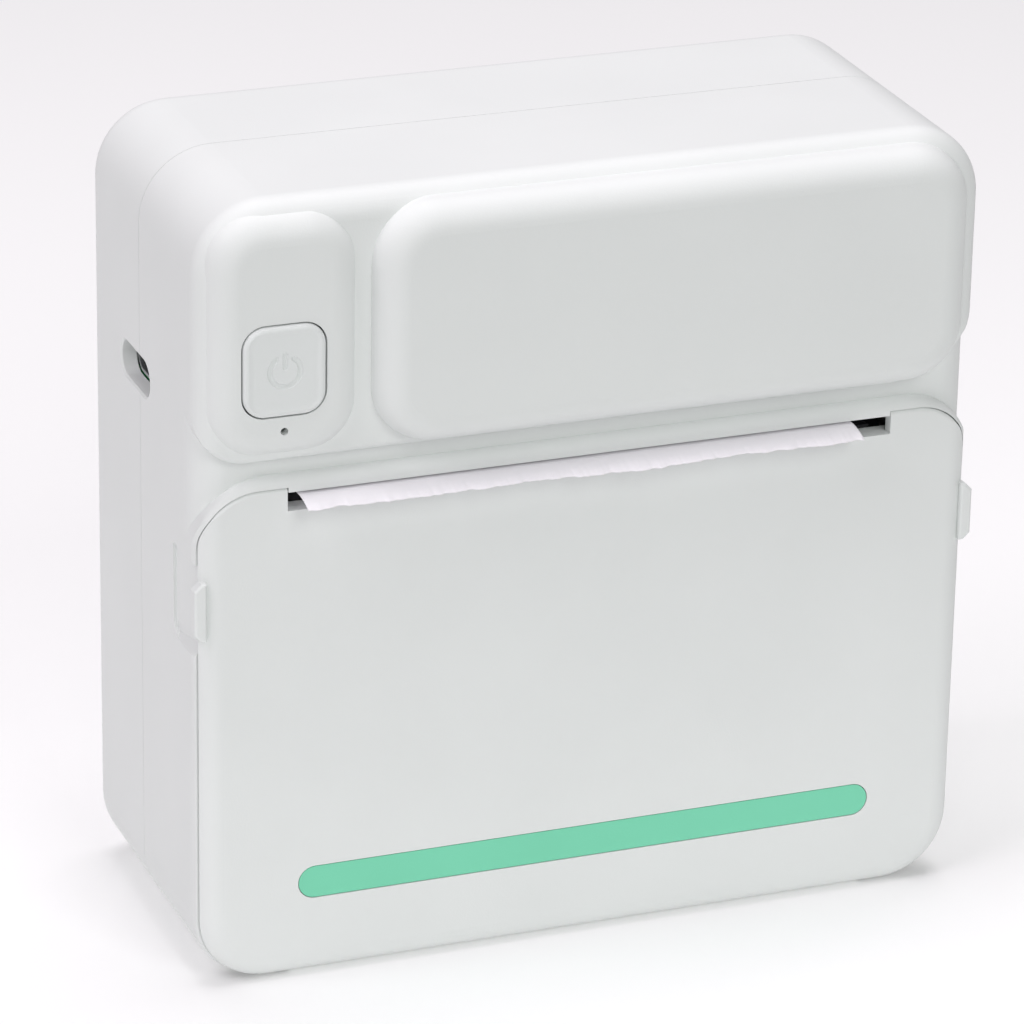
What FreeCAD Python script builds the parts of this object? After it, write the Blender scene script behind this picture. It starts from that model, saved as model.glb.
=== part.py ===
import FreeCAD, Part
import math
import os
import re
from FreeCAD import Vector

# Pocket thermal label printer, in millimetres.
# X points right, -Y is the door and button side, +Z is up.
# The origin is the middle of the bottom of the whole object, paper tip included.
# Depths named *_in are measured back from the outer face of the door.

SIZES = {
    # outer case
    "half_width": 40.0,
    "tall": 80.4,
    "depth": 34.4,
    "front": -15.55,
    "corner": 7.2,
    "front_edge": 2.5,
    "rear_edge": 2.6,
    "wall": 2.0,
    "parting_in": 18.0,
    "parting_groove": 0.07,
    "cavity_in": 3.0,
    "fit_gap": 0.02,
    # waist band between the button plateau and the door
    "waist_in": 1.2,
    "waist_edge": 3.2,
    "plateau_bottom": 54.65,
    "plateau_left_corner": 5.0,
    "plateau_right_corner": 9.0,
    "plateau_edge": 0.8,
    "lip_top": 53.0,
    "lip_corner": 6.9,
    "lip_edge": 1.15,
    # door and its opening
    "door_top": 51.8,
    "door_half": 39.64,
    "door_corner": 5.7,
    "door_edge": 0.4,
    "door_skin": 1.2,
    "door_gap": 0.1,
    "opening_top": 51.3,
    "opening_corner": 2.2,
    "slot_top": 51.4,
    "opening_half": 37.6,
    "rim_in": 1.45,
    "slot_half": 31.1,
    "slot_floor": 49.5,
    # raised island round the button, and the large raised pad beside it
    "island_left": -39.2,
    "island_right": -24.0,
    "island_bottom": 55.1,
    "island_top": 79.5,
    "island_rise": 1.3,
    "island_corner": 5.3,
    "island_edge": 3.0,
    "pad_left": -22.9,
    "pad_right": 37.9,
    "pad_bottom": 55.2,
    "pad_top": 79.4,
    "pad_rise": 2.8,
    "pad_corner": 6.0,
    "pad_edge": 3.0,
    "sunk": 3.0,
    # door hinge, on the centre line of the bottom front edge
    "hinge": 2.5,
    "hinge_gap": 0.3,
    "barrel_end": 30.5,
    "lug_start": 30.8,
    "lug_end": 34.2,
    "lug_radius": 1.4,
    "lug_arm_bottom": 1.6,
    "lug_arm_top": 5.0,
    "lug_arm_in": 5.7,
    "pin_start": 28.0,
    "pin_radius": 0.6,
    # finger tabs of the door and the recesses behind them
    "tab_bottom": 37.1,
    "tab_top": 43.1,
    "tab_inner": 39.1,
    "tab_outer": 40.35,
    "tab_rise": 0.08,
    "tab_back_in": 1.1,
    "tab_bevel": 0.7,
    "tab_edge": 0.3,
    "recess_bottom": 35.0,
    "recess_top": 44.5,
    "recess_inner": 39.0,
    "recess_flat_in": 2.0,
    "recess_rear_side": 39.7,
    "recess_end_in": 7.7,
    "recess_corner": 2.0,
    "recess_slope": 1.1,
    # accent strip let into the door
    "strip_left": -29.9,
    "strip_right": 30.3,
    "strip_middle": 10.15,
    "strip_radius": 1.65,
    "strip_depth": 0.7,
    "strip_gap": 0.08,
    # inner frame of the door
    "inner_half": 36.9,
    "inner_bottom": 5.8,
    "inner_top": 49.45,
    "inner_back_in": 2.4,
    "window_half": 33.0,
    "window_bottom": 14.0,
    "window_top": 38.0,
    "arm_back_in": 9.6,
    "arm_bottom": 41.5,
    "arm_top": 49.8,
    "arm_thick": 1.2,
    # platen roller
    "platen_in": 7.0,
    "platen_height": 46.6,
    "platen_radius": 4.0,
    "platen_left": -30.2,
    "platen_right": 28.2,
    "platen_end_gap": 0.4,
    "shaft_radius": 1.5,
    "shaft_left": -33.6,
    "shaft_right": 36.7,
    "bush_radius": 2.5,
    "bush_fit": 0.03,
    "bush_slot": 2.9,
    # steel frame of the printing mechanism
    "frame_left": -33.2,
    "frame_right": 32.2,
    "frame_sheet": 0.8,
    "frame_front_in": 4.6,
    "frame_back_in": 19.8,
    "frame_bottom": 38.4,
    "frame_top": 52.6,
    "motor_tab_back_in": 31.6,
    "motor_tab_bottom": 36.0,
    "motor_tab_top": 54.2,
    "flange_front_in": 14.9,
    "ear_end": 37.4,
    "ear_back_in": 9.4,
    "frame_screw_side": 35.0,
    # print head, hinged on a pin at its lower edge
    "head_pin_in": 13.2,
    "head_pin_height": 39.7,
    "head_pin_radius": 0.8,
    "head_left": -31.0,
    "head_right": 30.0,
    "head_front_in": 12.0,
    "head_back_in": 13.4,
    "head_top": 50.0,
    "head_bottom": 38.7,
    "head_foot_back_in": 14.4,
    "head_foot_top": 40.9,
    "ceramic_front_in": 11.2,
    "ceramic_bottom": 44.4,
    "ceramic_top": 49.4,
    "ceramic_left": -29.5,
    "ceramic_right": 27.5,
    "cover_front_in": 11.35,
    "cover_bottom": 41.2,
    "spring_side": 16.0,
    "spring_height": 46.6,
    "spring_radius": 1.9,
    "spring_wire": 0.25,
    "spring_turns": 6.0,
    # head ribbon and its connector
    "ribbon_left": -10.0,
    "ribbon_right": 8.0,
    "ribbon_height": 41.6,
    "ribbon_rise_in": 22.0,
    "ribbon_thick": 0.2,
    "ribbon_bend": 1.2,
    "ribbon_top": 54.1,
    # gear train
    "tooth_module": 0.4,
    "platen_teeth": 18.0,
    "idler_teeth": 30.0,
    "small_teeth": 12.0,
    "large_teeth": 34.0,
    "backlash": 0.07,
    "mesh_gap": 0.02,
    "idler_angle": 0.0,
    "compound_angle": -44.5,
    "motor_angle": 70.3,
    "inner_layer_start": 32.5,
    "inner_layer_end": 34.2,
    "outer_layer_start": 34.5,
    "outer_layer_end": 36.5,
    "axle_radius": 0.75,
    "axle_end": 37.0,
    # motor
    "motor_radius": 5.0,
    "motor_left": 14.0,
    "motor_face": 31.4,
    "motor_shaft_end": 34.4,
    "motor_shaft_radius": 0.75,
    # tear bar above the paper slot
    "tear_in": 1.6,
    "tear_thick": 0.4,
    # paper roll and bay
    "paper_left": -30.0,
    "paper_right": 27.0,
    "paper_stub": 3.3,
    "paper_height": 51.05,
    "paper_thick": 0.1,
    "paper_rise_in": 11.1,
    "paper_bend": 38.5,
    "roll_in": 16.6,
    "roll_height": 16.7,
    "roll_radius": 13.6,
    "core_radius": 6.0,
    "core_wall": 1.0,
    "bay_height": 17.4,
    "bay_radius": 14.4,
    "bay_wall": 1.2,
    "bay_gap": 0.6,
    "bay_side_front_in": 5.8,
    "bay_side_back_in": 31.8,
    "bay_side_top": 34.0,
    "bay_lip": 7.0,
    "bay_back_top": 26.0,
    # main board and what stands on it
    "deck_bottom": 52.6,
    "deck_top": 54.0,
    "deck_in": 12.0,
    "deck_side_in": 9.5,
    "board_left": -37.4,
    "board_right": 30.0,
    "board_front_in": 8.0,
    "board_back_in": 31.0,
    "board_bottom": 55.2,
    "board_thick": 1.0,
    "screw_left": -26.0,
    "screw_front_in": 10.0,
    "screw_front_right": 18.0,
    "screw_back_in": 29.0,
    "screw_back_right": 5.0,
    # USB-C port in the left wall
    "port_in": 19.6,
    "port_height": 57.8,
    "port_half_width": 4.47,
    "port_radius": 1.6,
    "port_mouth": -38.3,
    "port_back": -31.8,
    "port_shell": 0.3,
    "port_gap": 0.2,
    "port_bevel": 0.2,
    "port_wall": 1.6,
    # power button, its switch and the status light
    "button_left": -35.96,
    "button_right": -27.81,
    "button_bottom": 59.8,
    "button_top": 68.8,
    "button_corner": 2.2,
    "button_rise": 1.65,
    "button_back_in": 1.5,
    "button_gap": 0.15,
    "button_rim": 0.5,
    "dish_in": -0.47,
    "dish_depth": 0.08,
    "dish_edge": 1.5,
    "flange_in": 0.75,
    "flange_wide": 0.6,
    "stem_radius": 1.5,
    "stem_in": 2.85,
    "symbol_height": 64.3,
    "symbol_radius": 1.5,
    "symbol_line": 0.55,
    "symbol_depth": 0.2,
    "light_side": -31.86,
    "light_height": 58.2,
    "light_radius": 0.36,
    "pocket_in": 0.5,
    "small_board_in": 5.2,
    "small_board_thick": 0.8,
    "small_board_left": -37.4,
    "small_board_right": -26.5,
    "small_board_bottom": 56.8,
    "small_board_top": 71.2,
    "small_screw_left": -33.5,
    "small_screw_right": -29.5,
    "small_screw_height": 70.6,
    # battery
    "cell_left": -20.0,
    "cell_right": 31.0,
    "cell_front_in": 6.0,
    "cell_back_in": 30.0,
    "cell_bottom": 69.4,
    "cell_top": 77.4,
    # case screws, driven from the back
    "case_screw_side": 35.3,
    "case_screw_low": 8.0,
    "case_screw_high": 74.0,
    "case_screw_radius": 0.9,
    "case_head_radius": 1.8,
    "case_head_in": 31.6,
    "case_screw_tip_in": 11.0,
    "post_radius": 3.3,
    "post_front_in": 8.0,
}

ALONG_X = FreeCAD.Rotation(Vector(0, 1, 0), 90)
ALONG_Y = FreeCAD.Rotation(Vector(1, 0, 0), -90)
ALONG_Z = FreeCAD.Rotation()
TURNS = {"x": ALONG_X, "y": ALONG_Y, "z": ALONG_Z}
ALIAS_WORD = re.compile(r"[a-z][a-z_]*")

document = FreeCAD.newDocument("label_printer")
sub_parts = []


def make_sheet():
    """Fill the spreadsheet with the driving dimensions."""
    sheet = document.addObject("Spreadsheet::Sheet", "Sizes")
    for row, (alias, number) in enumerate(SIZES.items(), start=1):
        sheet.set(f"A{row}", alias)
        sheet.set(f"B{row}", str(number))
        sheet.setAlias(f"B{row}", alias)
    document.recompute()
    return sheet


sizes = make_sheet()


def bind(item, prop, text):
    """Bind a property to an expression in which bare words are spreadsheet aliases."""
    item.setExpression(prop, ALIAS_WORD.sub(r"Sizes.\g<0>", str(text)))


def keep(item, label):
    """Name a finished sub-part."""
    item.Label = label
    sub_parts.append(item)
    return item


def deep(text):
    """Expression for a Y position given as a depth behind the door's outer face."""
    return f"front + {text}"


def block(name, x, y, z):
    """Box between two expressions on each axis."""
    item = document.addObject("Part::Box", name)
    for prop, axis, (low, high) in zip(("Length", "Width", "Height"), "xyz", (x, y, z)):
        bind(item, prop, f"({high}) - ({low})")
        bind(item, f"Placement.Base.{axis}", low)
    return item


def rod(name, along, span, across, radius):
    """Cylinder along an axis; across holds its centre on the two other axes."""
    item = document.addObject("Part::Cylinder", name)
    item.Placement = FreeCAD.Placement(Vector(), TURNS[along])
    low, high = span
    bind(item, "Radius", radius)
    bind(item, "Height", f"({high}) - ({low})")
    bind(item, f"Placement.Base.{along}", low)
    for axis, centre in zip("xyz".replace(along, ""), across):
        bind(item, f"Placement.Base.{axis}", centre)
    return item


def join(name, *items):
    item = document.addObject("Part::MultiFuse", name)
    item.Shapes = list(items)
    item.Refine = True
    return item


def group(name, *items):
    """Separate solids that share one node."""
    item = document.addObject("Part::Compound", name)
    item.Links = list(items)
    return item


def cut(name, base, *tools):
    item = document.addObject("Part::Cut", name)
    item.Base = base
    item.Tool = tools[0] if len(tools) == 1 else join(f"{name}_tools", *tools)
    item.Refine = True
    return item


def overlap(name, first, second):
    item = document.addObject("Part::Common", name)
    item.Base = first
    item.Tool = second
    return item


def mirror(name, source):
    """Copy across the middle plane of the case."""
    item = document.addObject("Part::Mirroring", name)
    item.Source = source
    item.Normal = Vector(1, 0, 0)
    return item


def both_sides(name, source):
    return group(name, source, mirror(f"{name}_left", source))


def solid(name, shape):
    """Shape made by Part's own functions, which carries its own placement."""
    item = document.addObject("Part::Feature", name)
    item.Shape = shape
    return item


def edges_where(item, test):
    """Numbers of the edges whose bounding box passes a test."""
    document.recompute()
    return [i for i, edge in enumerate(item.Shape.Edges, start=1) if test(edge.BoundBox)]


def soften(name, base, radius, test, kind="Part::Fillet"):
    """Round or bevel the edges that pass a test."""
    numbers = edges_where(base, test)
    item = document.addObject(kind, name)
    item.Base = base
    item.Edges = [(number, radius, radius) for number in numbers]
    return item


def runs_along_y(box):
    return box.YLength > 0.05 and box.XLength < 1e-3 and box.ZLength < 1e-3


def at_y(place):
    return lambda box: abs(box.YMin - place) < 1e-3 and abs(box.YMax - place) < 1e-3


def rounded_block(name, x, y, z, corner, front_round=0.0, rear_round=0.0):
    """Box with its four long corners rounded, then its front and rear outlines."""
    item = block(f"{name}_block", x, y, z)
    item = soften(f"{name}_corners", item, corner, runs_along_y)
    for end, radius, attribute in (("front", front_round, "YMin"), ("rear", rear_round, "YMax")):
        if radius:
            document.recompute()
            place = getattr(item.Shape.BoundBox, attribute)
            item = soften(f"{name}_{end}", item, radius, at_y(place))
    return item


def stadium(name, x, y_ends, height, radius):
    """Bar along X whose outline across Y is a slot with round ends."""
    low, high = y_ends
    middle = block(f"{name}_middle", x, (low, high), (f"{height} - {radius}", f"{height} + {radius}"))
    ends = [rod(f"{name}_end_{i}", "x", x, (y, height), radius) for i, y in enumerate(y_ends)]
    return join(name, middle, *ends)


# ---------------------------------------------------------------- outer case

HALF = ("-half_width", "half_width")
FULL_HEIGHT = ("0", "tall")


def case_blank():
    """Full outer form at the level of the door's face."""
    return rounded_block("case_blank", HALF, (deep(0), deep("depth")), FULL_HEIGHT,
                         sizes.corner, sizes.front_edge, sizes.rear_edge)


def waist_blank():
    """Outer form set back to the level of the waist band."""
    return rounded_block("waist_blank", HALF, (deep("waist_in"), deep("depth")), FULL_HEIGHT,
                         sizes.corner, sizes.waist_edge, sizes.rear_edge)


def cavity():
    """Hollow of the case."""
    inner = ("wall - half_width", "half_width - wall")
    return rounded_block("cavity", inner, (deep("cavity_in"), deep("depth - wall")),
                         ("wall", "tall - wall"), sizes.corner - sizes.wall)


def bullet(name, extra):
    """Round bar on the hinge line whose ends follow the case's bottom corners."""
    straight = sizes.half_width - sizes.corner
    radius = sizes.hinge + extra
    drop = sizes.corner - radius
    reach = straight + math.sqrt(sizes.corner ** 2 - drop ** 2)
    half_angle = math.asin((reach - straight) / sizes.corner) / 2
    middle = Vector(straight + sizes.corner * math.sin(half_angle), 0,
                    sizes.corner * math.cos(half_angle) - drop)
    ends = (Vector(straight, 0, radius), Vector(reach, 0, 0))
    arc = Part.Arc(ends[0], middle, ends[1]).toShape()
    mirrored = Part.Arc(Vector(-reach, 0, 0), Vector(-middle.x, 0, middle.z),
                        Vector(-straight, 0, radius)).toShape()
    top = Part.makeLine(Vector(-straight, 0, radius), ends[0])
    axis = Part.makeLine(ends[1], Vector(-reach, 0, 0))
    face = Part.Face(Part.Wire([mirrored, top, arc, axis]))
    shape = face.revolve(Vector(), Vector(1, 0, 0), 360)
    shape.translate(Vector(0, sizes.front + sizes.hinge, sizes.hinge))
    return solid(name, shape)


def prism(name, corners, sweep):
    """Solid swept from a polygon."""
    outline = Part.makePolygon([*corners, corners[0]])
    return solid(name, Part.Face(outline).extrude(sweep))


def finger_recess():
    """Ramp cut into the side wall behind a finger tab, with a sloping lower side."""
    inner, outer = sizes.recess_inner, sizes.half_width + 1
    bottom, top = sizes.recess_bottom, sizes.recess_top
    start, end = sizes.front, sizes.front + sizes.recess_end_in
    blank = block("recess_blank", ("recess_inner", "half_width + 1"), (deep(0), deep("recess_end_in")),
                  ("recess_bottom", "recess_top"))
    rounded = soften("recess_rounded", blank, sizes.recess_corner,
                     lambda box: box.XLength > 0.5 and box.YMin > end - 1e-3 and box.ZMax < bottom + 1e-3)
    floor = [Vector(outer, start, bottom), Vector(inner, start, bottom),
             Vector(inner, sizes.front + sizes.recess_flat_in, bottom),
             Vector(sizes.recess_rear_side, end, bottom), Vector(outer, end, bottom)]
    ramp = prism("recess_ramp", floor, Vector(0, 0, top - bottom))
    rise = sizes.recess_slope / (sizes.half_width - inner)
    side = [Vector(outer, start, bottom - rise), Vector(inner, start, bottom + sizes.recess_slope),
            Vector(inner, start, top), Vector(outer, start, top)]
    slope = prism("recess_slope", side, Vector(0, end - start, 0))
    return overlap("finger_recess", overlap("recess_sunk", rounded, ramp), slope)


def port_hole():
    """Opening of the charging port, bevelled at the wall's outer face."""
    half = "port_half_width - port_radius"
    ends = (deep(f"port_in - ({half})"), deep(f"port_in + ({half})"))
    hole = stadium("port_hole", ("-half_width - 1", "-half_width + wall + 1"), ends,
                   "port_height", "(port_radius + port_gap)")
    straight = sizes.port_half_width - sizes.port_radius
    rings = []
    for x, grow in ((-sizes.half_width - 0.5, 1.0), (-sizes.half_width + sizes.port_bevel, 0.0)):
        radius = sizes.port_radius + sizes.port_gap + grow * (sizes.port_bevel + 0.5)
        rings.append(slot_wire(x, sizes.front + sizes.port_in, sizes.port_height, straight, radius))
    bevel = solid("port_bevel", Part.makeLoft(rings, True, True))
    room = block("port_room", ("port_wall - half_width", "wall - half_width + 0.2"),
                 (deep("port_in - 5.4"), deep("port_in + 5.4")), ("board_bottom - 0.3", "port_height + 2.6"))
    return join("port_opening", hole, bevel, room)


def slot_wire(x, y, z, straight, radius):
    """Slot outline with round ends in a plane across X."""
    left, right = y - straight, y + straight
    low, high = z - radius, z + radius
    return Part.Wire([
        Part.makeLine(Vector(x, left, low), Vector(x, right, low)),
        Part.Arc(Vector(x, right, low), Vector(x, right + radius, z), Vector(x, right, high)).toShape(),
        Part.makeLine(Vector(x, right, high), Vector(x, left, high)),
        Part.Arc(Vector(x, left, high), Vector(x, left - radius, z), Vector(x, left, low)).toShape(),
    ])


def case_screw_places():
    for side in ("case_screw_side", "-case_screw_side"):
        for height in ("case_screw_low", "case_screw_high"):
            yield side, height


def hinge_lug():
    """Right-hand lug of the case that holds a hinge pin."""
    across = (deep("hinge"), "hinge")
    span = ("lug_start", "lug_end")
    eye = rod("lug_eye", "x", span, across, "lug_radius")
    arm = block("lug_arm", span, (deep("hinge"), deep("lug_arm_in")), ("lug_arm_bottom", "lug_arm_top"))
    bore = rod("lug_bore", "x", ("lug_start - 1", "lug_end + 1"), across, "pin_radius + bush_fit")
    return cut("hinge_lug", join("lug_blank", eye, arm), bore)


def deck():
    """Shelf inside the case above the mechanism, with posts for the main board."""
    wide = block("deck_wide", ("wall - half_width", "frame_right - frame_sheet"),
                 (deep("cavity_in - 0.5"), deep("deck_in")), ("deck_bottom", "deck_top"))
    side = block("deck_side", ("frame_right - frame_sheet", "half_width - wall"),
                 (deep("cavity_in - 0.5"), deep("deck_side_in")), ("deck_bottom", "deck_top"))
    posts = [rod(f"deck_post_{i}", "z", ("deck_top", "board_bottom"), (x, deep("screw_front_in")), 1.7)
             for i, x in enumerate(("screw_left", "screw_front_right"))]
    bores = [rod(f"deck_bore_{i}", "z", ("deck_bottom - 1", "board_bottom + 1"),
                 (x, deep("screw_front_in")), "0.7 + fit_gap")
             for i, x in enumerate(("screw_left", "screw_front_right"))]
    bores += [rod(f"deck_ear_bore_{i}", "z", ("deck_bottom - 1", "deck_top + 1"),
                  (x, deep("platen_in")), "0.7 + fit_gap")
              for i, x in enumerate(("-frame_screw_side", "frame_screw_side"))]
    return cut("deck", join("deck_blank", wide, side, *posts), *bores)


def plateau_zone():
    """Space of the raised plateau, whose lower right corner is the rounder one."""
    zone = block("plateau_block", HALF, (deep(0), deep(12)), ("plateau_bottom", "tall + 20"))
    for name, side, radius in (("left", -1, sizes.plateau_left_corner), ("right", 1, sizes.plateau_right_corner)):
        def lower_corner(box):
            return runs_along_y(box) and box.ZMax < sizes.plateau_bottom + 1e-3 and box.XMin * side > 0

        zone = soften(f"plateau_{name}_corner", zone, radius, lower_corner)
    return soften("plateau_zone", zone, sizes.plateau_edge, at_y(sizes.front))


def front_form():
    """Outside of the front shell before it is hollowed."""
    blank = case_blank()
    plateau = overlap("plateau", blank, plateau_zone())
    lip_zone = rounded_block("lip_zone", HALF, (deep(0), deep(12)),
                             ("-20", "lip_top"), sizes.lip_corner, sizes.lip_edge)
    lip = overlap("lip", blank, lip_zone)
    island = rounded_block("island", ("island_left", "island_right"), (deep("-island_rise"), deep("sunk")),
                           ("island_bottom", "island_top"), sizes.island_corner, sizes.island_edge)
    pad = rounded_block("pad", ("pad_left", "pad_right"), (deep("-pad_rise"), deep("sunk")),
                        ("pad_bottom", "pad_top"), sizes.pad_corner, sizes.pad_edge)
    return join("front_form", waist_blank(), plateau, lip, island, pad)


def door_space():
    """Everything that the closed door and its swing take away from the case."""
    zone = rounded_block("door_space_zone", ("-door_half - door_gap", "door_half + door_gap"),
                         (deep(-1), deep("rim_in")), ("-20", "door_top + door_gap"),
                         sizes.door_corner + sizes.door_gap)
    lip = block("slot_lip", ("door_gap - slot_half", "slot_half - door_gap"), (deep(-2), deep("rim_in + 1")),
                ("slot_top", "door_top + 1"))
    sides = block("door_space_sides", ("-half_width - 1", "half_width + 1"), (deep(-1), deep("rim_in")),
                  ("-1", "door_top - door_corner"))
    opening = rounded_block("door_space_opening", ("-opening_half", "opening_half"),
                            (deep(0), deep("cavity_in + 1.2")), ("wall", "opening_top"), sizes.opening_corner)
    groove = block("tear_groove", ("0.2 - slot_half", "slot_half - 0.2"),
                   (deep("tear_in - 0.1"), deep("cavity_in + 1")), ("opening_top - 0.1", "opening_top + tear_thick"))
    pocket = cut("door_pocket", zone, lip)
    return join("door_space", pocket, sides, opening, groove, bullet("hinge_channel", sizes.hinge_gap))


def button_opening():
    """Hole for the button cap, hole for the light and the pocket behind them."""
    gap = "button_gap"
    hole = rounded_block("button_hole", (f"button_left - {gap}", f"button_right + {gap}"),
                         (deep("-sunk"), deep("sunk")), (f"button_bottom - {gap}", f"button_top + {gap}"),
                         sizes.button_corner + sizes.button_gap)
    light = rod("light_hole", "y", (deep("-sunk"), deep("sunk")), ("light_side", "light_height"),
                "light_radius + fit_gap")
    pocket = rounded_block("island_pocket", ("island_left + wall", "island_right - wall"),
                           (deep("pocket_in"), deep("cavity_in + 1.2")),
                           ("island_bottom + wall", "island_top - wall"), 3.0)
    return join("button_opening", hole, light, pocket)


def pad_pocket():
    return rounded_block("pad_pocket", ("pad_left + wall", "pad_right - wall"),
                         (deep("wall - pad_rise"), deep("cavity_in + 1.2")),
                         ("pad_bottom + wall", "pad_top - wall"), 4.0)


def case_posts(side, span_in):
    """Screw posts of one shell, bored for the screws."""
    low, high = span_in
    posts = []
    bores = []
    for i, (x, z) in enumerate(case_screw_places()):
        posts.append(rod(f"{side}_post_{i}", "y", (deep(low), deep(high)), (x, z), "post_radius"))
        bores.append(rod(f"{side}_bore_{i}", "y", (deep("case_screw_tip_in - 1"), deep("depth + 1")), (x, z),
                         "case_screw_radius + fit_gap"))
        if side == "rear":
            bores.append(rod(f"head_bore_{i}", "y", (deep("case_head_in"), deep("depth + 1")), (x, z),
                             "case_head_radius + 0.3"))
    return posts, bores


def small_board_posts():
    """Posts behind the island that carry the button board, and their bores."""
    places = [("small_screw_left", "small_screw_height"), ("small_screw_right", "small_screw_height")]
    posts = [rod(f"small_post_{i}", "y", (deep("pocket_in - 0.2"), deep("small_board_in")), place, 1.0)
             for i, place in enumerate(places)]
    bores = [rod(f"small_bore_{i}", "y", (deep("pocket_in + 1"), deep("small_board_in + 1")), place,
                 "0.5 + fit_gap") for i, place in enumerate(places)]
    return posts, bores


def front_shell(hollow, port, recesses):
    """Front half of the case."""
    half = block("front_half", ("-half_width - 1", "half_width + 1"), (deep("-pad_rise - 1"), deep("parting_in")),
                 ("-1", "tall + 1"))
    form = overlap("front_solid", front_form(), half)
    opened = cut("front_open", form, hollow, door_space(), button_opening(), pad_pocket(), port, recesses)
    posts, bores = case_posts("front", ("post_front_in", "parting_in"))
    small_posts, small_bores = small_board_posts()
    inside = block("front_inside", ("wall - half_width - 0.1", "half_width - wall + 0.1"),
                   (deep(0), deep("parting_in")), ("wall - 0.1", "tall - wall + 0.1"))
    clipped = overlap("front_posts", join("front_post_rods", *posts), inside)
    lug = hinge_lug()
    filled = join("front_filled", opened, clipped, deck(), lug, mirror("hinge_lug_left", lug), *small_posts)
    keep(cut("front_shell", filled, *bores, *small_bores), "front_shell")


def parting_line():
    """Fine groove round the case where its two halves meet."""
    groove = "parting_groove"
    span = (deep("parting_in"), deep(f"parting_in + {groove}"))
    outside = block("parting_outside", ("-half_width - 1", "half_width + 1"), span, ("-1", "tall + 1"))
    inside = rounded_block("parting_inside", (f"2 * {groove} - half_width", f"half_width - 2 * {groove}"), span,
                           (f"2 * {groove}", f"tall - 2 * {groove}"), sizes.corner - 2 * sizes.parting_groove)
    return cut("parting_line", outside, inside)


def rear_shell(hollow, port):
    """Back half of the case, with the screw recesses."""
    half = block("rear_half", ("-half_width - 1", "half_width + 1"), (deep("parting_in"), deep("depth + 1")),
                 ("-1", "tall + 1"))
    form = overlap("rear_solid", document.getObject("case_blank_rear"), half)
    opened = cut("rear_open", form, hollow, port, parting_line())
    posts, bores = case_posts("rear", ("parting_in", "depth - wall"))
    inside = block("rear_inside", ("wall - half_width - 0.1", "half_width - wall + 0.1"),
                   (deep("parting_in"), deep("depth - 1")), ("wall - 0.1", "tall - wall + 0.1"))
    clipped = overlap("rear_posts", join("rear_post_rods", *posts), inside)
    brackets = []
    for i, x in enumerate(("screw_left", "screw_back_right")):
        brackets.append(block(f"bracket_{i}", (f"{x} - 2", f"{x} + 2"),
                              (deep("screw_back_in - 2"), deep("depth - wall + 0.2")),
                              ("deck_bottom", "board_bottom")))
        bores.append(rod(f"bracket_bore_{i}", "z", ("deck_bottom - 1", "board_bottom + 1"),
                         (x, deep("screw_back_in")), "0.7 + fit_gap"))
    filled = join("rear_filled", opened, clipped, *brackets)
    keep(cut("rear_shell", filled, *bores), "rear_shell")


def screw_along_y(name, place, head_in, tip_in, radius, head_radius, head_height):
    """Pan-head screw driven towards -Y, with a cross slot."""
    x, z = place
    head = rod(f"{name}_head", "y", (deep(head_in), deep(f"{head_in} + {head_height}")), place, head_radius)
    shank = rod(f"{name}_shank", "y", (deep(tip_in), deep(head_in)), place, radius)
    slots = []
    for axis, (across, up) in enumerate(((0.6, 0.15), (0.15, 0.6))):
        slots.append(block(f"{name}_slot_{axis}",
                           (f"{x} - {across} * {head_radius}", f"{x} + {across} * {head_radius}"),
                           (deep(f"{head_in} + 0.5 * {head_height}"), deep(f"{head_in} + {head_height} + 1")),
                           (f"{z} - {up} * {head_radius}", f"{z} + {up} * {head_radius}")))
    return cut(name, join(f"{name}_blank", head, shank), *slots)


def screw_along_z(name, place, head_at, tip_at, radius, head_radius, head_height, up=True):
    """Pan-head screw along Z; up means that the head is at the top."""
    outer = f"{head_at} + {head_height}" if up else f"{head_at} - {head_height}"
    head_span = (head_at, outer) if up else (outer, head_at)
    shank_span = (tip_at, head_at) if up else (head_at, tip_at)
    head = rod(f"{name}_head", "z", head_span, place, head_radius)
    shank = rod(f"{name}_shank", "z", shank_span, place, radius)
    return join(name, head, shank)


def case_screws():
    screws = [screw_along_y(f"case_screw_{i}", place, "case_head_in", "case_screw_tip_in",
                            "case_screw_radius", "case_head_radius", 1.4)
              for i, place in enumerate(case_screw_places())]
    keep(group("shell_screws", *screws), "shell_screws")


# ---------------------------------------------------------------- door

def door_panel():
    """Outer skin of the door with its hinge barrel and finger tabs."""
    zone = rounded_block("door_zone", ("-door_half", "door_half"), (deep(0), deep("door_skin")),
                         ("-20", "door_top"), sizes.door_corner, sizes.door_edge)
    skin = overlap("door_skin_form", document.getObject("case_blank_rear"), zone)
    notch = block("slot_notch", ("-slot_half", "slot_half"), (deep(-1), deep("door_skin + 1")),
                  ("slot_floor", "door_top + 1"))
    half = "strip_radius"
    groove = accent_bar("strip_groove", (deep(-1), deep("strip_depth")),
                        f"({half} + strip_gap)")
    across = (deep("hinge"), "hinge")
    reliefs = [rod(f"lug_relief_{i}", "x", span, across, "lug_radius + hinge_gap")
               for i, span in enumerate((("barrel_end", "lug_end + hinge_gap"),
                                         ("-lug_end - hinge_gap", "-barrel_end")))]
    opened = cut("door_skin_open", skin, notch, groove, *reliefs)
    barrel = rod("door_barrel", "x", ("-barrel_end", "barrel_end"), across, "hinge")
    bores = [rod(f"barrel_bore_{i}", "x", span, across, "pin_radius")
             for i, span in enumerate((("pin_start", "barrel_end + 1"), ("-barrel_end - 1", "-pin_start")))]
    tab = finger_tab()
    blank = join("door_blank", opened, barrel, tab, mirror("tab_left", tab))
    keep(cut("door_panel", blank, *bores), "door_panel")


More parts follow.
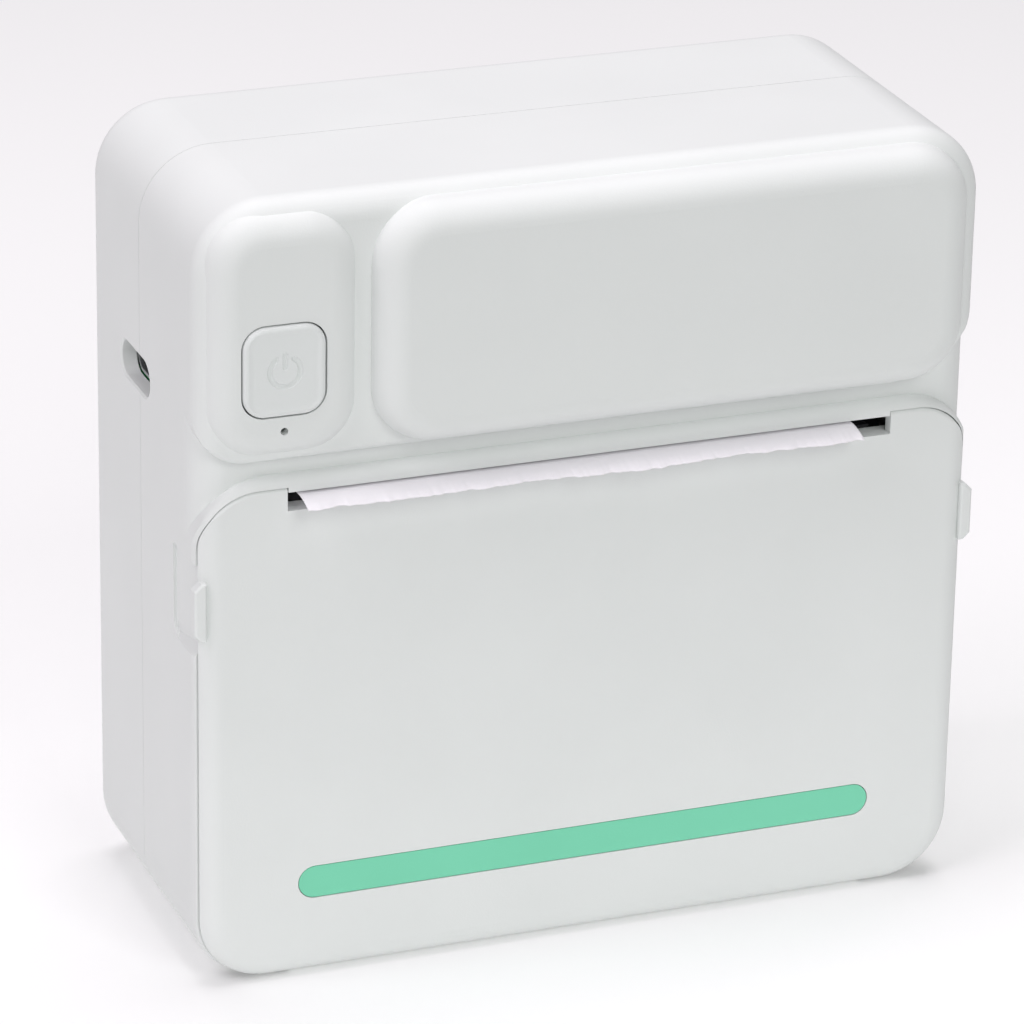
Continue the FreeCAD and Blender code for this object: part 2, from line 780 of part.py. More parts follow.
def finger_tab():
    """Right-hand tab, with sloping ends and a softened front."""
    blank = block("tab_blank", ("tab_inner", "tab_outer"), (deep("-tab_rise"), deep("tab_back_in")),
                  ("tab_bottom", "tab_top"))
    outer = sizes.tab_outer

    def outer_corner(box):
        return box.XMin > outer - 1e-3 and box.ZLength < 1e-3

    sloped = soften("tab_sloped", blank, sizes.tab_bevel, outer_corner, "Part::Chamfer")
    return soften("finger_tab", sloped, sizes.tab_edge, at_y(sizes.front - sizes.tab_rise))


def accent_bar(name, y, radius):
    """Bar along X with round ends, for the strip and its groove."""
    middle = block(f"{name}_middle", ("strip_left + strip_radius", "strip_right - strip_radius"), y,
                   (f"strip_middle - {radius}", f"strip_middle + {radius}"))
    ends = [rod(f"{name}_end_{i}", "y", y, (x, "strip_middle"), radius)
            for i, x in enumerate(("strip_left + strip_radius", "strip_right - strip_radius"))]
    return join(name, middle, *ends)


def accent_strip():
    bar = accent_bar("door_accent_strip", (deep(0.03), deep("strip_depth")), "strip_radius")
    keep(bar, "door_accent_strip")


PLATEN = (deep("platen_in"), "platen_height")


def door_inner_frame():
    """Stiffener behind the door skin."""
    plate = rounded_block("inner_plate", ("-inner_half", "inner_half"), (deep("door_skin"), deep("inner_back_in")),
                          ("inner_bottom", "inner_top"), 4.0)
    window = rounded_block("inner_window", ("-window_half", "window_half"), (deep(0), deep("inner_back_in + 1")),
                           ("window_bottom", "window_top"), 3.0)
    keep(cut("door_inner_frame", plate, window), "door_inner_frame")


def platen_arms():
    """The two arms on the inner frame that carry the platen."""
    arms = [block(f"arm_{i}", span, (deep("inner_back_in"), deep("arm_back_in")), ("arm_bottom", "arm_top"))
            for i, span in enumerate(arm_spans())]
    bore = rod("arm_bore", "x", ("frame_left", "frame_right"), PLATEN, "bush_radius")
    keep(cut("platen_arms", group("arm_blanks", *arms), bore), "platen_arms")


def arm_spans():
    """X spans of the two platen arms."""
    left = "platen_left - platen_end_gap"
    right = "platen_right + platen_end_gap"
    return ((f"{left} - arm_thick", left), (right, f"{right} + arm_thick"))


def hinge_pins():
    pin = rod("hinge_pin", "x", ("pin_start", "lug_end"), (deep("hinge"), "hinge"), "pin_radius")
    keep(both_sides("hinge_pins", pin), "hinge_pins")


# ---------------------------------------------------------------- platen

def tube(name, span, across, outer, inner):
    """Round tube along X."""
    low, high = span
    return cut(name, rod(f"{name}_outside", "x", span, across, outer),
               rod(f"{name}_bore", "x", (f"{low} - 1", f"{high} + 1"), across, inner))


def platen():
    keep(rod("platen_shaft", "x", ("shaft_left", "shaft_right"), PLATEN, "shaft_radius"), "platen_shaft")
    keep(tube("platen_rubber", ("platen_left", "platen_right"), PLATEN, "platen_radius", "shaft_radius"),
         "platen_rubber")
    left, right = arm_spans()
    bushes = [tube("bush_left", ("frame_left - 0.2", left[1]), PLATEN, "bush_radius", "shaft_radius + bush_fit"),
              tube("bush_right", (right[0], "frame_right + 0.1"), PLATEN, "bush_radius",
                   "shaft_radius + bush_fit")]
    keep(group("platen_bushings", *bushes), "platen_bushings")


# ---------------------------------------------------------------- gears

def polar(centre, distance, angle):
    """Point in the YZ plane at a distance and an angle in degrees from another one."""
    turn = math.radians(angle)
    return (centre[0] + distance * math.cos(turn), centre[1] + distance * math.sin(turn))


def pitch_radius(teeth):
    return teeth * sizes.tooth_module / 2


def centre_distance(first, second):
    return pitch_radius(first) + pitch_radius(second) + sizes.mesh_gap


def meshing_phase(angle, teeth, phase, other_teeth):
    """Angle of a tooth of the second gear when the first one is at its phase."""
    pitch = 360 / teeth
    other_pitch = 360 / other_teeth
    fraction = ((angle - phase) / pitch) % 1
    return angle + 180 - other_pitch * (0.5 - fraction)


def tooth_half_angle(radius, teeth):
    """Half of a tooth's width at a radius, as an angle in radians."""
    pitch_circle = pitch_radius(teeth)
    base = pitch_circle * math.cos(math.radians(20))
    at_pitch = (math.pi * sizes.tooth_module / 2 - sizes.backlash) / 2 / pitch_circle

    def involute(distance):
        pressure = math.acos(min(1.0, base / distance))
        return math.tan(pressure) - pressure

    return at_pitch + involute(pitch_circle) - involute(max(radius, base))


def gear_face(centre, teeth, phase):
    """Outline of a spur gear in the YZ plane."""
    teeth = int(teeth)
    pitch_circle = pitch_radius(teeth)
    root = pitch_circle - 1.25 * sizes.tooth_module
    tip = pitch_circle + sizes.tooth_module
    steps = 4
    radii = [root + (tip - root) * i / steps for i in range(steps + 1)]
    points = []
    for tooth in range(teeth):
        middle = phase + tooth * 360 / teeth
        for sign, ordered in ((-1, radii), (1, reversed(radii))):
            for radius in ordered:
                turn = middle + sign * math.degrees(tooth_half_angle(radius, teeth))
                y, z = polar(centre, radius, turn)
                points.append(Vector(0, y, z))
    return Part.Face(Part.makePolygon(points + points[:1]))


def gear_wheel(centre, teeth, phase, start, end):
    face = gear_face(centre, teeth, phase)
    face.translate(Vector(start, 0, 0))
    return face.extrude(Vector(end - start, 0, 0))


def round_bar(centre, radius, start, end):
    return Part.makeCylinder(radius, end - start, Vector(start, *centre), Vector(1, 0, 0))


def gear_places():
    """Centres of the gears behind the platen gear."""
    platen_centre = (sizes.front + sizes.platen_in, sizes.platen_height)
    idler = polar(platen_centre, centre_distance(sizes.platen_teeth, sizes.idler_teeth), sizes.idler_angle)
    compound = polar(idler, centre_distance(sizes.idler_teeth, sizes.small_teeth), sizes.compound_angle)
    motor = polar(compound, centre_distance(sizes.large_teeth, sizes.small_teeth), sizes.motor_angle)
    return platen_centre, idler, compound, motor


def gear_train():
    """Motor pinion, compound gear, idler gear, platen gear and their axles."""
    platen_centre, idler, compound, motor = gear_places()
    inner = (sizes.inner_layer_start, sizes.inner_layer_end)
    outer = (sizes.outer_layer_start, sizes.outer_layer_end)
    bore = sizes.axle_radius + sizes.bush_fit
    platen_phase = 0.0
    idler_phase = meshing_phase(sizes.idler_angle, sizes.platen_teeth, platen_phase, sizes.idler_teeth)
    small_phase = meshing_phase(sizes.compound_angle, sizes.idler_teeth, idler_phase, sizes.small_teeth)
    motor_phase = meshing_phase(sizes.motor_angle, sizes.large_teeth, small_phase, sizes.small_teeth)

    wheel = gear_wheel(platen_centre, sizes.platen_teeth, platen_phase, *outer)
    keep(solid("platen_gear", wheel.cut(round_bar(platen_centre, sizes.shaft_radius, 30, 40))), "platen_gear")

    wheel = gear_wheel(idler, sizes.idler_teeth, idler_phase, *outer)
    wheel = wheel.fuse(round_bar(idler, 1.05, inner[0], outer[0]))
    keep(solid("idler_gear", wheel.cut(round_bar(idler, bore, 30, 40)).removeSplitter()), "idler_gear")

    wheel = gear_wheel(compound, sizes.large_teeth, small_phase, *inner)
    wheel = wheel.fuse(gear_wheel(compound, sizes.small_teeth, small_phase, inner[1], outer[1]))
    keep(solid("compound_gear", wheel.cut(round_bar(compound, bore, 30, 40)).removeSplitter()),
         "compound_gear")

    wheel = gear_wheel(motor, sizes.small_teeth, motor_phase, inner[0] + 0.1, inner[1])
    keep(solid("motor_pinion", wheel.cut(round_bar(motor, sizes.motor_shaft_radius, 30, 40))), "motor_pinion")

    axles = [round_bar(centre, sizes.axle_radius, sizes.frame_right - sizes.frame_sheet, sizes.axle_end)
             for centre in (idler, compound)]
    keep(solid("gear_axles", Part.makeCompound(axles)), "gear_axles")
    return idler, compound, motor


def stepper_motor(motor):
    """Motor can behind the mechanism, and its shaft."""
    can = round_bar(motor, sizes.motor_radius, sizes.motor_left, sizes.motor_face)
    can = can.makeFillet(0.6, [edge for edge in can.Edges if edge.BoundBox.XMax < sizes.motor_left + 1e-3])
    can = can.cut(round_bar(motor, sizes.motor_shaft_radius + sizes.bush_fit,
                            sizes.motor_face - 3, sizes.motor_face + 1))
    keep(solid("motor_can", can), "motor_can")
    shaft = round_bar(motor, sizes.motor_shaft_radius, sizes.motor_face - 2.8, sizes.motor_shaft_end)
    keep(solid("motor_shaft", shaft), "motor_shaft")


# ---------------------------------------------------------------- mechanism frame and print head

def mechanism_frame(gear_centres):
    """Bent steel frame: two side plates, back plate, sensor flange and mounting ears."""
    inner_left = "frame_left + frame_sheet"
    inner_right = "frame_right - frame_sheet"
    plates = [
        block("frame_plate_left", ("frame_left", inner_left),
              (deep("frame_front_in"), deep("frame_back_in")), ("frame_bottom", "frame_top")),
        block("frame_plate_right", (inner_right, "frame_right"),
              (deep("frame_front_in"), deep("frame_back_in")), ("frame_bottom", "frame_top")),
        block("frame_motor_tab", (inner_right, "frame_right"),
              (deep("frame_back_in - frame_sheet"), deep("motor_tab_back_in")),
              ("motor_tab_bottom", "motor_tab_top")),
        block("frame_back", ("frame_left", "frame_right"),
              (deep("frame_back_in - frame_sheet"), deep("frame_back_in")), ("frame_bottom", "frame_top")),
        block("frame_flange", ("frame_left", "frame_right"),
              (deep("flange_front_in"), deep("frame_back_in")), ("frame_bottom", "frame_bottom + frame_sheet")),
        block("frame_ear_left", ("-ear_end", inner_left),
              (deep("frame_front_in"), deep("ear_back_in")), ("frame_top - frame_sheet", "frame_top")),
        block("frame_ear_right", (inner_right, "ear_end"),
              (deep("frame_front_in"), deep("ear_back_in")), ("frame_top - frame_sheet", "frame_top")),
    ]
    across = ("frame_left - 1", "frame_right + 1")
    openings = [
        rod("frame_slot_end", "x", across, PLATEN, "bush_slot"),
        block("frame_slot", across, (deep("frame_front_in - 1"), deep("platen_in")),
              ("platen_height - bush_slot", "platen_height + bush_slot")),
        block("frame_window", ("ribbon_left - 2", "ribbon_right + 2"),
              (deep("frame_back_in - 2"), deep("frame_back_in + 1")),
              ("ribbon_height - 1.5", "ribbon_height + 1.5")),
        rod("frame_pin_hole", "x", across, (deep("head_pin_in"), "head_pin_height"), "head_pin_radius"),
    ]
    for i, x in enumerate(("-frame_screw_side", "frame_screw_side")):
        openings.append(rod(f"frame_screw_hole_{i}", "z", ("frame_top - 2", "frame_top + 1"),
                            (x, deep("platen_in")), "0.7 + fit_gap"))
    radii = (sizes.axle_radius, sizes.axle_radius, sizes.motor_shaft_radius + 0.5)
    for i, (centre, radius) in enumerate(zip(gear_centres, radii)):
        openings.append(solid(f"frame_gear_hole_{i}", round_bar(centre, radius, 30, 34)))
    keep(cut("mechanism_frame", join("frame_blank", *plates), *openings), "mechanism_frame")


def frame_screws():
    screws = [screw_along_z(f"frame_screw_{i}", (x, deep("platen_in")), "frame_top - frame_sheet",
                            "deck_top", 0.7, 1.5, 0.6, up=False)
              for i, x in enumerate(("-frame_screw_side", "frame_screw_side"))]
    keep(group("frame_screws", *screws), "frame_screws")


def print_head():
    """Heat sink on its pivot pin, ceramic heater plate and the cover of its driver chips."""
    pin = (deep("head_pin_in"), "head_pin_height")
    plate = block("head_plate", ("head_left", "head_right"), (deep("head_front_in"), deep("head_back_in")),
                  ("head_bottom", "head_top"))
    foot = block("head_foot", ("head_left", "head_right"), (deep("head_front_in"), deep("head_foot_back_in")),
                 ("head_bottom", "head_foot_top"))
    bore = rod("head_bore", "x", ("head_left - 1", "head_right + 1"), pin, "head_pin_radius + bush_fit")
    keep(cut("print_head_heatsink", join("head_blank", plate, foot), bore), "print_head_heatsink")
    keep(rod("head_pivot_pin", "x", ("frame_left", "frame_right"), pin, "head_pin_radius"), "head_pivot_pin")
    keep(block("print_head_ceramic", ("ceramic_left", "ceramic_right"),
               (deep("ceramic_front_in"), deep("head_front_in")), ("ceramic_bottom", "ceramic_top")),
         "print_head_ceramic")
    keep(block("head_driver_cover", ("ceramic_left + 2", "ceramic_right - 2"),
               (deep("cover_front_in"), deep("head_front_in")), ("cover_bottom", "ceramic_bottom")),
         "head_driver_cover")


def head_springs():
    """Two coil springs that press the head towards the platen."""
    start = sizes.front + sizes.head_back_in + sizes.spring_wire + 0.05
    end = sizes.front + sizes.frame_back_in - sizes.frame_sheet - sizes.spring_wire - 0.05
    pitch = (end - start) / sizes.spring_turns
    helix = Part.makeHelix(pitch, end - start, sizes.spring_radius)
    profile = Part.Wire(Part.makeCircle(sizes.spring_wire, Vector(sizes.spring_radius, 0, 0), Vector(0, 1, 0)))
    coil = Part.Wire(helix).makePipeShell([profile], True, True)
    coils = []
    for side in (-1, 1):
        copy = coil.copy()
        copy.Placement = FreeCAD.Placement(Vector(side * sizes.spring_side, start, sizes.spring_height), ALONG_Y)
        coils.append(copy)
    keep(solid("head_springs", Part.makeCompound(coils)), "head_springs")


def bent_sheet(name, points, bends, thick, left, right):
    """Sheet that follows a path in the YZ plane, rounded at its inner points."""
    pieces = []
    start = points[0]
    for corner, after, radius in zip(points[1:], points[2:], bends):
        before = start
        into = (corner - before).normalize()
        out = (after - corner).normalize()
        half_turn = into.getAngle(out) / 2
        reach = radius * math.tan(half_turn)
        first = corner - into * reach
        last = corner + out * reach
        inward = (out - into).normalize()
        middle = corner + inward * (radius / math.cos(half_turn) - radius)
        pieces.append(Part.makeLine(before, first))
        pieces.append(Part.Arc(first, middle, last).toShape())
        start = last
    pieces.append(Part.makeLine(start, points[-1]))
    path = Part.Wire(pieces)
    face = path.makeOffset2D(thick, 0, True, True)
    face.translate(Vector(left, 0, 0))
    return solid(name, face.extrude(Vector(right - left, 0, 0)))


def head_ribbon():
    front = sizes.front
    low = Vector(0, front + sizes.head_back_in + 0.2, sizes.ribbon_height)
    turn = Vector(0, front + sizes.ribbon_rise_in, sizes.ribbon_height)
    top = Vector(0, front + sizes.ribbon_rise_in, sizes.ribbon_top)
    keep(bent_sheet("head_ribbon", [low, turn, top], [sizes.ribbon_bend], sizes.ribbon_thick,
                    sizes.ribbon_left, sizes.ribbon_right), "head_ribbon")


def paper_sensor():
    """Reflective sensor under the frame's flange, facing the paper."""
    keep(block("paper_sensor", ("paper_left + 6", "paper_left + 11"),
               (deep("flange_front_in + 0.3"), deep("flange_front_in + 2.9")),
               ("frame_bottom - 1.8", "frame_bottom")), "paper_sensor")


def tear_bar():
    """Thin toothed strip above the paper, just behind the lip of the case."""
    front = sizes.front + sizes.tear_in
    back = front + 1.4
    half = sizes.slot_half - 0.3
    teeth = 40
    pitch = 2 * half / teeth
    points = [Vector(half, back, 0), Vector(-half, back, 0)]
    for i in range(teeth):
        points.append(Vector(-half + i * pitch, front + 0.5, 0))
        points.append(Vector(-half + (i + 0.5) * pitch, front, 0))
    points.append(Vector(half, front + 0.5, 0))
    face = Part.Face(Part.makePolygon(points + points[:1]))
    face.translate(Vector(0, 0, sizes.opening_top))
    return face.extrude(Vector(0, 0, sizes.tear_thick))


# ---------------------------------------------------------------- paper

def paper_bay():
    """Trough for the roll with its two side cheeks."""
    centre = (deep("roll_in"), "bay_height")
    left = "paper_left - bay_gap"
    right = "paper_right + bay_gap"
    trough = tube("bay_trough", (left, right), centre, "bay_radius + bay_wall", "bay_radius")
    room = block("bay_room", (left, right), (deep("hinge"), deep("bay_side_back_in")), ("wall", "bay_back_top"))
    mouth = block("bay_mouth", (f"{left} - 1", f"{right} + 1"), (deep(0), deep("roll_in")),
                  ("bay_lip", "bay_side_top"))
    shell = cut("bay_shell", overlap("bay_clipped", trough, room), mouth)
    cheeks = [block(f"bay_cheek_{i}", span, (deep("bay_side_front_in"), deep("bay_side_back_in")),
                    ("wall", "bay_side_top"))
              for i, span in enumerate(((f"{left} - bay_wall", left), (right, f"{right} + bay_wall")))]
    keep(join("paper_bay", shell, *cheeks), "paper_bay")


def paper_roll():
    """Roll of label paper on its core."""
    centre = (deep("roll_in"), "roll_height")
    span = ("paper_left", "paper_right")
    keep(tube("paper_roll", span, centre, "roll_radius", "core_radius"), "paper_roll")
    keep(tube("roll_core", span, centre, "core_radius", "core_radius - core_wall"), "roll_core")


def paper_web():
    """Paper from the top of the roll, past the head, over the platen and out of the slot."""
    front = sizes.front
    clear = sizes.roll_radius + 0.2
    centre = Vector(0, front + sizes.roll_in, sizes.roll_height)
    bend = Vector(0, front + sizes.paper_rise_in, sizes.paper_bend)
    offset = bend - centre
    angle = math.atan2(offset.z, offset.y) - math.acos(clear / offset.Length)
    leaves_roll = centre + Vector(0, math.cos(angle), math.sin(angle)) * clear
    top = Vector(0, front + sizes.paper_rise_in, sizes.paper_height)
    tip = Vector(0, front - sizes.paper_stub, sizes.paper_height)
    over_platen = sizes.paper_rise_in - sizes.platen_in
    keep(bent_sheet("paper_web", [leaves_roll, bend, top, tip], [2.0, over_platen], sizes.paper_thick,
                    sizes.paper_left, sizes.paper_right), "paper_web")


# ---------------------------------------------------------------- electronics

BOARD_TOP = "board_bottom + board_thick"


def board_screw_places():
    return (("screw_left", deep("screw_front_in")), ("screw_front_right", deep("screw_front_in")),
            ("screw_left", deep("screw_back_in")), ("screw_back_right", deep("screw_back_in")))


def main_board():
    blank = rounded_slab("main_board_blank", ("board_left", "board_right"),
                         (deep("board_front_in"), deep("board_back_in")), ("board_bottom", BOARD_TOP), 1.0)
    holes = [rod(f"board_hole_{i}", "z", ("board_bottom - 1", f"{BOARD_TOP} + 1"), place, "0.7 + fit_gap")
             for i, place in enumerate(board_screw_places())]
    edge = block("board_edge", ("port_mouth + 0.1", "board_left + 1"), (deep("port_in - 5"), deep("port_in + 5")),
                 ("board_bottom", BOARD_TOP))
    keep(cut("main_board", join("main_board_form", blank, edge), *holes), "main_board")
    screws = [screw_along_z(f"board_screw_{i}", place, BOARD_TOP, "deck_bottom + 0.4", 0.7, 1.4, 0.8)
              for i, place in enumerate(board_screw_places())]
    keep(group("board_screws", *screws), "board_screws")


def rounded_slab(name, x, y, z, corner):
    """Flat plate with its upright corners rounded."""
    plate = block(f"{name}_plate", x, y, z)
    return soften(name, plate, corner, lambda box: box.XLength < 1e-3 and box.YLength < 1e-3)


def on_board(name, x, y_in, height):
    """Component standing on the main board."""
    return block(name, x, (deep(y_in[0]), deep(y_in[1])), (BOARD_TOP, f"{BOARD_TOP} + {height}"))


def board_parts():
    """Chips, coils, capacitors and connectors of the main board."""
    keep(on_board("main_chip", ("-9", "-2"), ("15", "22"), 0.9), "main_chip")
    parts = [on_board("coil", ("6", "11"), ("12", "17"), 2.6),
             on_board("flash_chip", ("-20", "-15"), ("22", "26"), 1.2),
             on_board("driver_chip", ("14", "19"), ("20", "25"), 1.0),
             on_board("crystal", ("-13", "-11"), ("12", "15.2"), 0.7)]
    for i in range(6):
        start = -8 + 4 * i
        parts.append(on_board(f"capacitor_{i}", (start, start + 1.6), ("25.5", "26.5"), 0.8))
    keep(group("board_components", *parts), "board_components")
    keep(on_board("battery_connector", ("22", "28"), ("12", "16"), 3.2), "battery_connector")
    connector = block("ribbon_plug", ("ribbon_left - 1", "ribbon_right + 1"),
                      (deep("ribbon_rise_in - 1.3"), deep("ribbon_rise_in + 1.5")),
                      ("board_bottom - 1.6", "board_bottom"))
    room = block("ribbon_room", ("ribbon_left - 0.1", "ribbon_right + 0.1"),
                 (deep("ribbon_rise_in - 0.3"), deep("ribbon_rise_in + 0.3")),
                 ("board_bottom - 2", "ribbon_top + 0.1"))
    keep(cut("ribbon_connector", connector, room), "ribbon_connector")


def usb_port():
    """Socket shell and its tongue."""
    half = "port_half_width - port_radius"
    ends = (deep(f"port_in - ({half})"), deep(f"port_in + ({half})"))
    outside = stadium("usb_outside", ("port_mouth", "port_back"), ends, "port_height", "port_radius")
    inside = stadium("usb_inside", ("port_mouth - 1", "port_back - 1"), ends, "port_height",
                     "(port_radius - port_shell)")
    keep(cut("usb_socket", outside, inside), "usb_socket")
    keep(block("usb_tongue", ("port_mouth + 0.9", "port_back - 1"), (deep("port_in - 3.3"), deep("port_in + 3.3")),
               ("port_height - 0.35", "port_height + 0.35")), "usb_tongue")


def power_button():
    """Button cap with a soft rim round a dished face, an engraved power sign, a flange and a stem."""
    middle = "0.5 * (button_left + button_right)"
    cap = rounded_block("cap_blank", ("button_left", "button_right"), (deep("-button_rise"), deep("button_back_in")),
                        ("button_bottom", "button_top"), sizes.button_corner, sizes.button_rim)
    wide = "flange_wide"
    flange = block("cap_flange", (f"button_left - {wide}", f"button_right + {wide}"),
                   (deep("flange_in"), deep("button_back_in")), (f"button_bottom - {wide}", f"button_top + {wide}"))
    stem = rod("cap_stem", "y", (deep("button_back_in - 0.5"), deep("stem_in")), (middle, "symbol_height"),
               "stem_radius")
    inset = "dish_in"
    dish = rounded_block("button_dish", (f"button_left + {inset}", f"button_right - {inset}"),
                         (deep("-button_rise - 2"), deep("dish_depth - button_rise")),
                         (f"button_bottom + {inset}", f"button_top - {inset}"),
                         sizes.button_corner, 0, sizes.dish_edge)
    keep(cut("power_button", join("cap", cap, flange, stem), dish, *power_sign()), "power_button")


def power_sign():
    """Cutters for the engraving, an open ring with a bar in its gap, as a round-nosed tool leaves it."""
    radius, line, depth = sizes.symbol_radius, sizes.symbol_line, sizes.symbol_depth
    nose = (line ** 2 / 4 + depth ** 2) / (2 * depth)
    face = sizes.front - sizes.button_rise + sizes.dish_depth
    centre = Vector((sizes.button_left + sizes.button_right) / 2, face + depth - nose, sizes.symbol_height)
    gap = 35
    turns = [math.radians(90 + side * gap) for side in (-1, 1)]
    ends = [centre + Vector(math.cos(turn), 0, math.sin(turn)) * radius for turn in turns]
    along = Vector(-math.sin(turns[0]), 0, math.cos(turns[0]))
    profile = Part.Face(Part.Wire(Part.Circle(ends[0], along, nose).toShape()))
    low = centre + Vector(0, 0, 0.4)
    high = centre + Vector(0, 0, radius + 0.15)
    shapes = [profile.revolve(centre, Vector(0, 1, 0), 360 - 2 * gap),
              Part.makeCylinder(nose, (high - low).Length, low, Vector(0, 0, 1))]
    shapes += [Part.makeSphere(nose, place) for place in (*ends, low, high)]
    return [solid(f"power_sign_{i}", shape) for i, shape in enumerate(shapes)]


def button_switch():
    """Small board behind the button with its switch, light and light pipe."""
    middle = "0.5 * (button_left + button_right)"
    board = block("small_board", ("small_board_left", "small_board_right"),
                  (deep("small_board_in"), deep("small_board_in + small_board_thick")),
                  ("small_board_bottom", "small_board_top"))
    places = [("small_screw_left", "small_screw_height"), ("small_screw_right", "small_screw_height")]
    holes = [rod(f"small_hole_{i}", "y", (deep("small_board_in - 1"), deep("small_board_in + 2")), place,
                 "0.5 + fit_gap") for i, place in enumerate(places)]
    keep(cut("button_board", board, *holes), "button_board")
    screws = [screw_along_y(f"small_screw_{i}", place, "small_board_in + small_board_thick", "pocket_in + 1.2",
                            0.5, 0.9, 0.6) for i, place in enumerate(places)]
    keep(group("button_board_screws", *screws), "button_board_screws")
    base = block("switch_blank", (f"{middle} - 2", f"{middle} + 2"), (deep(3.45), deep("small_board_in")),
                 ("symbol_height - 2", "symbol_height + 2"))
    bore = rod("switch_bore", "y", (deep(3), deep(4.6)), (middle, "symbol_height"), "1.0 + bush_fit")
    keep(cut("tact_switch_base", base, bore), "tact_switch_base")
    keep(rod("tact_switch_plunger", "y", (deep("stem_in + 0.05"), deep(4)), (middle, "symbol_height"), 1.0),
         "tact_switch_plunger")
    keep(block("status_led", ("light_side - 0.8", "light_side + 0.8"), (deep(4.4), deep("small_board_in")),
               ("light_height - 0.5", "light_height + 0.5")), "status_led")
    tip = rod("pipe_tip", "y", (deep("0.9 - island_rise"), deep("pocket_in + 0.3")), ("light_side", "light_height"),
              "light_radius")
    body = rod("pipe_body", "y", (deep("pocket_in + 0.02"), deep(4.3)), ("light_side", "light_height"), 0.8)
    keep(join("led_light_pipe", tip, body), "led_light_pipe")


def battery():
    """Pouch cell taped under the top wall, and its two leads."""
    pouch = rounded_slab("cell_slab", ("cell_left", "cell_right"), (deep("cell_front_in"), deep("cell_back_in")),
                         ("cell_bottom", "cell_top"), 2.0)
    keep(pouch, "battery_cell")
    keep(block("battery_tape", ("cell_left + 3", "cell_right - 3"),
               (deep("cell_front_in + 3"), deep("cell_back_in - 3")), ("cell_top", "tall - wall")), "battery_tape")
    leads = []
    for i in range(2):
        y = sizes.front + 13.2 + 1.6 * i
        top = Vector(sizes.cell_right - 4 - i, y, sizes.cell_bottom)
        low = Vector(sizes.cell_right - 4 - i, y, sizes.board_bottom + sizes.board_thick + 3.2)
        leads.append(Part.makeCylinder(0.5, top.z - low.z, low, Vector(0, 0, 1)))
    keep(solid("battery_leads", Part.makeCompound(leads)), "battery_leads")


# ---------------------------------------------------------------- assembly and export

def build():
    hollow = cavity()
    port = port_hole()
    recesses = both_sides("finger_recesses", finger_recess())
    front_shell(hollow, port, recesses)
    rear_shell(hollow, port)
    case_screws()
    door_panel()
    accent_strip()
    door_inner_frame()
    platen_arms()
    hinge_pins()
    platen()
    idler, compound, motor = gear_train()
    stepper_motor(motor)
    mechanism_frame((idler, compound, motor))
    frame_screws()
    print_head()
    head_springs()
    head_ribbon()
    paper_sensor()
    keep(solid("tear_bar", tear_bar()), "tear_bar")
    paper_bay()
    paper_roll()
    paper_web()
    main_board()
    board_parts()
    usb_port()
    power_button()
    button_switch()
    battery()


def check():
    """Stop if any object failed or any sub-part isn't a valid shape."""
    failed = [item.Name for item in document.Objects if {"Invalid", "Error"} & set(item.State)]
    failed += [item.Label for item in sub_parts if item.Shape.isNull() or not item.Shape.isValid()
               or not item.Shape.Solids]
    if failed:
        raise RuntimeError("failed: " + ", ".join(failed))


build()
document.recompute()
check()
os.makedirs("parts", exist_ok=True)
for sub_part in sub_parts:
    sub_part.Shape.exportStep(f"parts/{sub_part.Label}.step")
print(len(sub_parts), "sub-parts written")
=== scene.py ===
import math

import bpy
from mathutils import Matrix, Vector, noise


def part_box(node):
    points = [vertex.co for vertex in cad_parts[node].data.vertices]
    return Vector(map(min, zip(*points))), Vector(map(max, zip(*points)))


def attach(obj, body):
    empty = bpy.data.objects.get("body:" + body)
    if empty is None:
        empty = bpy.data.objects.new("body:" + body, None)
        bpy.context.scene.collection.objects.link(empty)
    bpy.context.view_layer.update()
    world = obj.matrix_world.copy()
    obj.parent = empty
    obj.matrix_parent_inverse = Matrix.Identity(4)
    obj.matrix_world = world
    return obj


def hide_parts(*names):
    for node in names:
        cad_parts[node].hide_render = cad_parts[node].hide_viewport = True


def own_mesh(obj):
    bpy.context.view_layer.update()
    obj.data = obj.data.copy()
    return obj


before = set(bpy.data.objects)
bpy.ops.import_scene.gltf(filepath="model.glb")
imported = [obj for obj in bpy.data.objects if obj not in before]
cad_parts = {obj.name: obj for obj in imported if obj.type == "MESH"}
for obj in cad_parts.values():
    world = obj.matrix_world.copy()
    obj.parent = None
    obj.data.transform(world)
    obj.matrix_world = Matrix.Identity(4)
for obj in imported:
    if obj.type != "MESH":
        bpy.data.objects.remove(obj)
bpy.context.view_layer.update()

MM = 0.001
NOISE_SPAN = (0.3, 0.7)          # where most values of a noise texture lie
TINT_SPAN = (0.35, 0.65)         # noise values at which a tint reaches its two colours


# ---------------------------------------------------------------- small helpers

def low(node):
    """Lowest corner of a CAD node, in metres."""
    return Vector(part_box(node)[0])


def high(node):
    """Highest corner of a CAD node, in metres."""
    return Vector(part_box(node)[1])


def middle(node):
    """Centre of a CAD node's box, in metres."""
    return (low(node) + high(node)) / 2


def socket(node, name, value):
    """Set an input of a shader node to one value over the whole surface."""
    node.inputs[name].default_value = value


def blank_material(name):
    """New material, with its node tree and its surface shader."""
    material = bpy.data.materials.new(name)
    material.use_nodes = True
    tree = material.node_tree
    return material, tree, tree.nodes["Principled BSDF"]


def link(tree, source, output, target, entry):
    """Join an output of one shader node to an input of another."""
    tree.links.new(source.outputs[output], target.inputs[entry])


